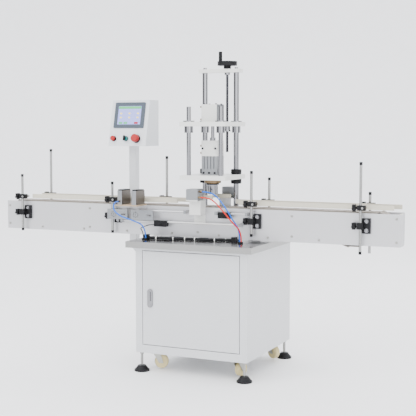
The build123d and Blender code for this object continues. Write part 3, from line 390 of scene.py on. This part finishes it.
for node, (finish, dia, slotName, length, route) in cords.items():
    cordPiece(node, finish, dia, route)
print("cords laid")

# slat chain: shaft places, and how far and how long its lower run hangs at the drive end
chain = {"slats": 106, "size": (0.0365, 0.0825, 0.0046), "bevel": 0.0008, "midY": -0.050,
         "radius": 0.0495, "z": 0.708, "left": -1.030, "right": 0.805, "drop": 0.050, "span": 0.245,
         "ease": 0.006, "arcSteps": 24}


def chainLine(s):
    r, z, left, right, span = s["radius"], s["z"], s["left"], s["right"], s["span"]
    arc = [i * pi / s["arcSteps"] for i in range(s["arcSteps"] + 1)]
    line = [(left, z + r), (right, z + r)]
    line += [(right + r * sin(a), z + r * cos(a)) for a in arc]
    low = z - r
    line += [(right - 0.16 * span, low - s["ease"]), (right - 0.28 * span, low - s["drop"] + s["ease"])]
    line += [(right - 0.35 * span, low - s["drop"]), (right - 0.58 * span, low - s["drop"])]
    line += [(right - 0.7 * span, low - 0.8 * s["drop"]), (right - span, low), (left, low)]
    line += [(left - r * sin(a), z - r * cos(a)) for a in arc]
    return line


# evenly spaced places, each with the line's heading there
def alongLine(line, count):
    runs = [hypot(b[0] - a[0], b[1] - a[1]) for a, b in zip(line, line[1:])]
    total, spots, here, i = sum(runs), [], 0.0, 0
    for k in range(count):
        want = total * k / count
        while here + runs[i] < want:
            here += runs[i]
            i += 1
        a, b = line[i], line[i + 1]
        t = (want - here) / max(runs[i], 1e-9)
        heading = atan2(b[1] - a[1], b[0] - a[0])
        spots.append((a[0] + (b[0] - a[0]) * t, a[1] + (b[1] - a[1]) * t, heading))
    return spots


line = chainLine(chain)
spots = [(x, chain["midY"], z, 0, -h, 0) for x, z, h in alongLine(line, chain["slats"])]
slat = boxPiece("slat", chain["size"], chain["bevel"])
slats = repeat("chainSlats", slat, spots, "chainPlastic", "machine")
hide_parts("slat_chain")
print("chain made")

# screws and caps, as (radius, height) profiles
screw = {"head": [(0.0001, 0.0), (0.005, 0.0), (0.005, 0.0035), (0.0042, 0.0045), (0.0024, 0.0045),
                  (0.0022, 0.0022), (0.0001, 0.0022)],
         "washer": [(0.009, 0.0), (0.009, 0.0016), (0.0065, 0.0016), (0.0065, 0.0060), (0.0055, 0.0068),
                    (0.0001, 0.0068)],
         "cap": [(0.0001, -0.010), (0.0068, -0.010), (0.0068, 0.0015), (0.0055, 0.0030), (0.0001, 0.0030)]}
facing = {"front": (pi / 2, 0, 0), "up": (0, 0, 0), "down": (pi, 0, 0)}
frontFace, backFace = (end.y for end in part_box("side_plates"))
liftLow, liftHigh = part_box("lift_cylinder")

# rail posts: place along the conveyor, foot and top
posts = {"off": 0.023,  # from the side plate to the post's middle
         "front": [(-0.996, 0.612, 0.888), (-0.480, 0.622, 0.862), (0.236, 0.636, 0.926), (0.738, 0.582, 0.973)],
         "back": [(-0.932, 0.640, 1.010), (-0.269, 0.640, 0.982), (0.260, 0.640, 0.890), (0.736, 0.566, 0.836)]}
frontPostY, backPostY = frontFace - posts["off"], backFace + posts["off"]

# bolts beside each front post
bolt = {"beside": 0.024, "proud": 0.012, "heights": (0.682, 0.722)}
boltY = frontFace - bolt["proud"]
boltSpots = [(x + bolt["beside"], boltY, z, *facing["front"])
             for x, low, high in posts["front"] for z in bolt["heights"]]
repeat("bracketBolts", turnedPiece("bolt", screw["washer"]), boltSpots, "chrome", "machine")

# side plates: screws at the end plate, in pairs along the length, and at the spacer rods
plate = {"endX": 0.890, "endZ": (0.635, 0.735), "pairX": (-1.088, -0.62, -0.04, 0.42), "pairZ": (0.640, 0.7305),
         "rods": 7, "rodStart": -0.893, "rodStep": 0.240, "rodZ": 0.630}
plateHoles = [(plate["endX"], z) for z in plate["endZ"]]
plateHoles += [(x, z) for x in plate["pairX"] for z in plate["pairZ"]]
plateHoles += [(plate["rodStart"] + plate["rodStep"] * i, plate["rodZ"]) for i in range(plate["rods"])]
plateSpots = [(x, frontFace, z, *facing["front"]) for x, z in plateHoles]
repeat("plateScrews", turnedPiece("screw", screw["head"]), plateSpots, "zinc", "machine")

# lift cylinder: one screw in each corner of its top
corner = {"left": -0.020, "inRight": 0.010, "inFace": 0.012}  # the box's left end is the fittings, not the body
cornerX = (corner["left"], liftHigh.x - corner["inRight"])
cornerY = (liftLow.y + corner["inFace"], liftHigh.y - corner["inFace"])
topSpots = [(x, y, liftHigh.z, *facing["up"]) for x in cornerX for y in cornerY]
repeat("cylinderScrews", turnedPiece("screw", screw["head"]), topSpots, "darkSteel", "head")

# spindle housing and the cylinder over it
housing = {"spindle_housing": (0.914, (-0.018, 0.010, 0.038)), "chuck_cylinder": (1.026, (-0.022, 0.042))}
housingSpots = [(x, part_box(node)[0].y, z, *facing["front"]) for node, (z, across) in housing.items() for x in across]
repeat("housingScrews", turnedPiece("screw", screw["head"]), housingSpots, "darkSteel", "stroke")

caps = [(x, frontPostY, high, *facing["up"]) for x, low, high in posts["front"]]
caps += [(x, backPostY, high, *facing["up"]) for x, low, high in posts["back"]]
caps += [(x, frontPostY, low, *facing["down"]) for x, low, high in posts["front"]]
repeat("postCaps", turnedPiece("cap", screw["cap"]), caps, "black", "machine")
print("screws and caps made")

# ribs on the lift cylinder's side, either side of its middle
rib = {"size": (0.0016, 0.0050, 0.078), "bevel": 0.0004, "proud": 0.0002, "off": (0.008, 0.020, 0.032)}
liftMid = (liftLow + liftHigh) / 2
ribOffs = sorted(side * off for side in (-1, 1) for off in rib["off"])
ribs = [(liftHigh.x + rib["proud"], liftMid.y + off, liftMid.z, 0, 0, 0) for off in ribOffs]
repeat("cylinderRibs", boxPiece("rib", rib["size"], rib["bevel"]), ribs, "aluminium", "head")

# cable ties: place along and across the loom, and the loom's heading there
tieShape = [(0.0076, -0.0018), (0.0080, -0.0018), (0.0080, 0.0018), (0.0076, 0.0018)]
tieList = [(-0.215, -0.1850, 0.0), (-0.135, -0.1727, 0.24), (-0.080, -0.1610, 0.18),
           (-0.030, -0.1580, 0.0), (0.060, -0.1435, 0.42), (0.110, -0.1265, 0.15)]
loomHeight = cords["cable_loom"][4][0][2] / 1000
ties = [(x, y, loomHeight, 0, pi / 2, heading) for x, y, heading in tieList]
repeat("cableTies", turnedPiece("tie", tieShape), ties, "whiteTie", "machine")

# the screen's picture, laid in its recess
recess, overGlass = 0.0042, 0.0005


def panelSpot(across, up, lift):
    p = faceFoot + faceUp * up + faceOut * lift
    return (p.x + across, p.y, p.z, -slope, 0, 0)


# size, finish, and places across, up and out from the box's face
panels = {
    "screenGlass": ((0.125, 0.0006, 0.091), "display", [(0, 0.1511, recess)]),
    "screenTitle": ((0.122, 0.0004, 0.012), "displayGreen", [(0, 0.1890, recess + overGlass)]),
    "screenKeys": ((0.020, 0.0004, 0.010), "displayGreen", [(x, 0.1130, recess + overGlass) for x in (-0.045, -0.018)]),
    "screenRed": ((0.020, 0.0004, 0.010), "red", [(0.040, 0.1130, recess + overGlass)]),
    "screenMarks": ((0.010, 0.0004, 0.007), "displayYellow",
                    [(x, up, recess + overGlass) for x in (-0.046, 0.0, 0.046) for up in (0.140, 0.160)]),
}
for name, (size, finish, places) in panels.items():
    repeat(name, boxPiece(name + "Piece", size), [panelSpot(*p) for p in places], finish, "machine")
print("screen made")

# floor, backdrop and light
cove = {"width": 40, "front": -30, "back": 12, "radius": 4, "steps": 16, "height": 20}
profile = [(cove["front"], 0)]
for i in range(cove["steps"] + 1):
    a = pi / 2 * i / cove["steps"]
    profile.append((cove["back"] + cove["radius"] * sin(a), cove["radius"] * (1 - cos(a))))
profile.append((cove["back"] + cove["radius"], cove["height"]))
corners = [(x, y, z) for y, z in profile for x in (-cove["width"], cove["width"])]
strips = [(2 * i, 2 * i + 1, 2 * i + 3, 2 * i + 2) for i in range(len(profile) - 1)]
floorMesh = bpy.data.meshes.new("floor")
floorMesh.from_pydata(corners, [], strips)
floorMesh.shade_smooth()
floorMesh.materials.append(mats["floorPaint"])
floor = newObject("floor", floorMesh)
world = bpy.data.worlds.new("studio")
world.use_nodes = True
sky = world.node_tree.nodes["Background"]
# dimmer to the two sides, so that the columns show dark edges
studio = {"tint": (0.95, 0.96, 1.0, 1), "side": (0.91, 0.41, 0), "from": 0.62, "to": 0.86, "bright": 3.6, "dim": 0.5}
sky.inputs["Color"].default_value = studio["tint"]
g = Graph(world.node_tree)
toward = g.node("ShaderNodeTexCoord")[0]
across = g.node("ShaderNodeVectorMath", [toward, studio["side"]], operation="DOT_PRODUCT")[1]
band = {"Value": across.calc("ABSOLUTE"), "From Min": studio["from"], "From Max": studio["to"],
        "To Min": studio["bright"], "To Max": studio["dim"]}
level = g.node("ShaderNodeMapRange", band)[0]
g.tree.links.new(level.socket, sky.inputs["Strength"])
bpy.context.scene.world = world
# place, size and power of each lamp, all aimed at one point
lights = {"key": ((-2.4, -3.4, 3.6), 2.4, 130), "fill": ((3.4, -2.8, 2.0), 2.0, 40), "rim": ((0.6, 3.0, 3.4), 2.4, 60)}
aim = Vector((0, 0, 0.7))
for name, (place, size, power) in lights.items():
    data = bpy.data.lights.new(name, "AREA")
    data.size, data.energy = size, power
    lamp = bpy.data.objects.new(name, data)
    bpy.context.scene.collection.objects.link(lamp)
    lamp.location = place
    lamp.rotation_mode = "QUATERNION"
    lamp.rotation_quaternion = (aim - Vector(place)).to_track_quat("-Z", "Y")
print("stage lit")
